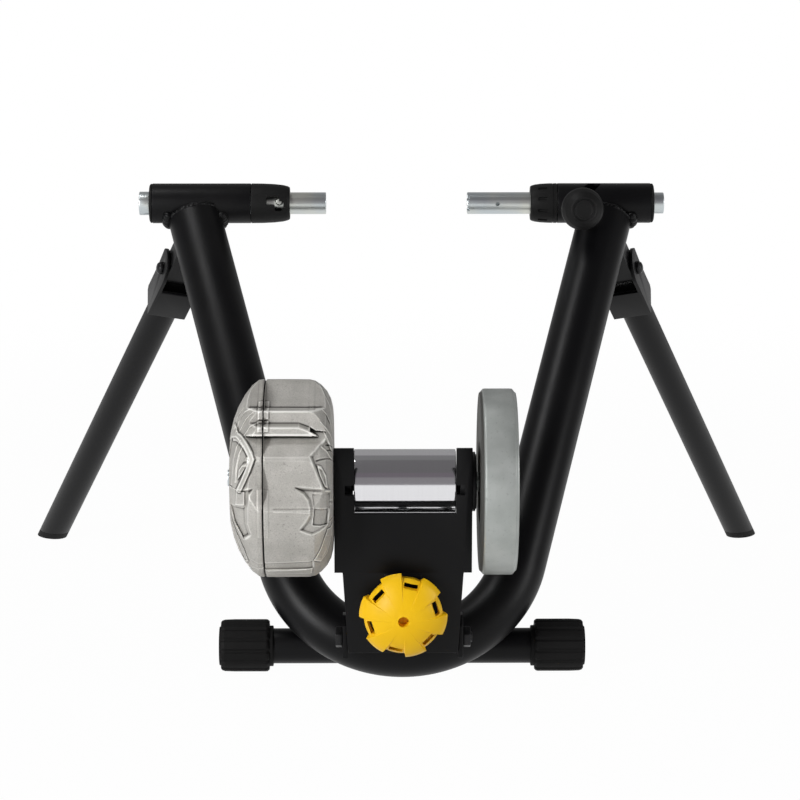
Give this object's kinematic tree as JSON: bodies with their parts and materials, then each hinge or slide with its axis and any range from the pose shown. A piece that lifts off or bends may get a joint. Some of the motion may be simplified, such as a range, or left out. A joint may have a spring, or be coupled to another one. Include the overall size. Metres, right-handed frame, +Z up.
{
  "type": "fluid bike trainer",
  "caption": "Folding bicycle trainer: tube frame with axle clamps, levelling boots, and a tilting roller unit with flywheel, fluid brake and adjuster knob.",
  "frame": {"origin": "middle of the footprint, on the floor", "axes": "+X to the right seen from the adjuster knob, +Y from the roller unit towards the rear legs, +Z up"},
  "size_m": [0.7994, 0.8062, 0.4262],
  "materials": {
    "satin_black_paint": "satin black paint",
    "black_plastic": "fine moulded grain",
    "black_rubber": "matt black",
    "zinc_plate": "bright zinc plate",
    "chromed_roller": "polished",
    "machined_steel": "machined",
    "cast_alloy": "sand-cast, unpainted",
    "black_oxide": "black oxide",
    "yellow_plastic": "moulded"
  },
  "bodies": {
    "frame": {"main_tube": "satin_black_paint", "crossbar": "satin_black_paint", "clamp_tube_left": "satin_black_paint", "clamp_tube_right": "satin_black_paint", "nose_collar_left": "black_plastic", "nose_collar_right": "black_plastic", "end_bush_left": "black_plastic", "end_bush_right": "black_plastic", "hinge_lug_left": "satin_black_paint", "hinge_lug_right": "satin_black_paint", "pivot_ear_left": "satin_black_paint", "pivot_ear_right": "satin_black_paint", "pivot_bolt": "black_oxide", "pivot_nut": "black_oxide", "adjuster_anchor": "satin_black_paint", "adjuster_nut": "zinc_plate"},
    "leg_left": {"leg_yoke_left": "satin_black_paint", "leg_tube_left": "satin_black_paint", "foot_left": "black_rubber", "hinge_bolt_left": "black_oxide", "hinge_nut_left": "black_oxide"},
    "leg_right": {"leg_yoke_right": "satin_black_paint", "leg_tube_right": "satin_black_paint", "foot_right": "black_rubber", "hinge_bolt_right": "black_oxide", "hinge_nut_right": "black_oxide"},
    "roller_unit": {"roller_bracket": "satin_black_paint", "pivot_sleeve": "machined_steel", "bearing_left": "machined_steel", "bearing_cup": "black_oxide", "bearing_right": "machined_steel", "fluid_housing_inner": "cast_alloy", "fluid_housing_outer": "cast_alloy", "housing_gasket": "black_rubber", "shaft_seal": "black_rubber", "case_screw_1": "zinc_plate", "case_screw_2": "zinc_plate", "case_screw_3": "zinc_plate", "case_screw_4": "zinc_plate", "mount_screw_1": "black_oxide", "mount_screw_2": "black_oxide", "mount_screw_3": "black_oxide", "fill_plug": "zinc_plate"},
    "rotor": {"roller": "chromed_roller", "flywheel": "machined_steel", "roller_shaft": "machined_steel", "flywheel_washer": "zinc_plate", "flywheel_nut": "zinc_plate", "impeller": "cast_alloy"},
    "thrust_slider": {"thrust_washer": "machined_steel"},
    "adjuster": {"adjuster_knob": "yellow_plastic", "adjuster_screw": "zinc_plate"},
    "left_spindle": {"spindle_left": "zinc_plate", "locating_pin": "zinc_plate"},
    "right_spindle": {"spindle_right": "zinc_plate"},
    "lever": {"lever_collar": "machined_steel", "lever_rod": "zinc_plate", "lever_knob": "black_plastic"},
    "boot_left": {"levelling_boot_left": "black_rubber"},
    "boot_right": {"levelling_boot_right": "black_rubber"}
  },
  "joints": [
    {"name": "unit_tilt", "type": "hinge", "parent": "frame", "child": "roller_unit", "pos_m": [0, -0.31304, 0.05], "axis": [-1, 0, 0], "range_deg": [-5, 4]},
    {"name": "rotor_spin", "type": "hinge", "parent": "roller_unit", "child": "rotor", "pos_m": [0, -0.318, 0.19005], "axis": [1, 0, 0], "continuous": true},
    {"name": "thrust_slide", "type": "slide", "parent": "frame", "child": "thrust_slider", "axis": [0, 0.9945, 0.1045], "range_m": [-0.0031, 0.0025]},
    {"name": "adjuster_turn", "type": "hinge", "parent": "thrust_slider", "child": "adjuster", "pos_m": [0, -0.31659, 0.08381], "axis": [0, 0.9945, 0.1045], "range_deg": [-545, 440]},
    {"name": "leg_fold_left", "type": "hinge", "parent": "frame", "child": "leg_left", "pos_m": [-0.212, -0.00304, 0.33898], "axis": [-0.9478, -0.2621, 0.1816], "range_deg": [0, 83]},
    {"name": "leg_fold_right", "type": "hinge", "parent": "frame", "child": "leg_right", "pos_m": [0.212, -0.00304, 0.33898], "axis": [-0.9478, 0.2621, -0.1816], "range_deg": [0, 83]},
    {"name": "left_spindle_slide", "type": "slide", "parent": "frame", "child": "left_spindle", "axis": [-1, 0, 0], "range_m": [0, 0.012]},
    {"name": "right_spindle_slide", "type": "slide", "parent": "frame", "child": "right_spindle", "axis": [1, 0, 0], "range_m": [0, 0.018]},
    {"name": "lever_turn", "type": "hinge", "parent": "right_spindle", "child": "lever", "pos_m": [0.167, -0.01804, 0.406], "axis": [-1, 0, 0], "range_deg": [0, 75]},
    {"name": "boot_turn_left", "type": "hinge", "parent": "frame", "child": "boot_left", "pos_m": [-0.14, -0.23804, 0.0238], "axis": [1, 0, 0], "continuous": true},
    {"name": "boot_turn_right", "type": "hinge", "parent": "frame", "child": "boot_right", "pos_m": [0.14, -0.23804, 0.0238], "axis": [1, 0, 0], "continuous": true}
  ],
  "couplings": [
    {"joint": "thrust_slide", "follows": "unit_tilt", "m_per_rad": 0.034},
    {"joint": "adjuster_turn", "follows": "unit_tilt", "ratio": 106.81},
    {"joint": "lever_turn", "follows": "right_spindle_slide", "rad_per_m": 72.72}
  ]
}
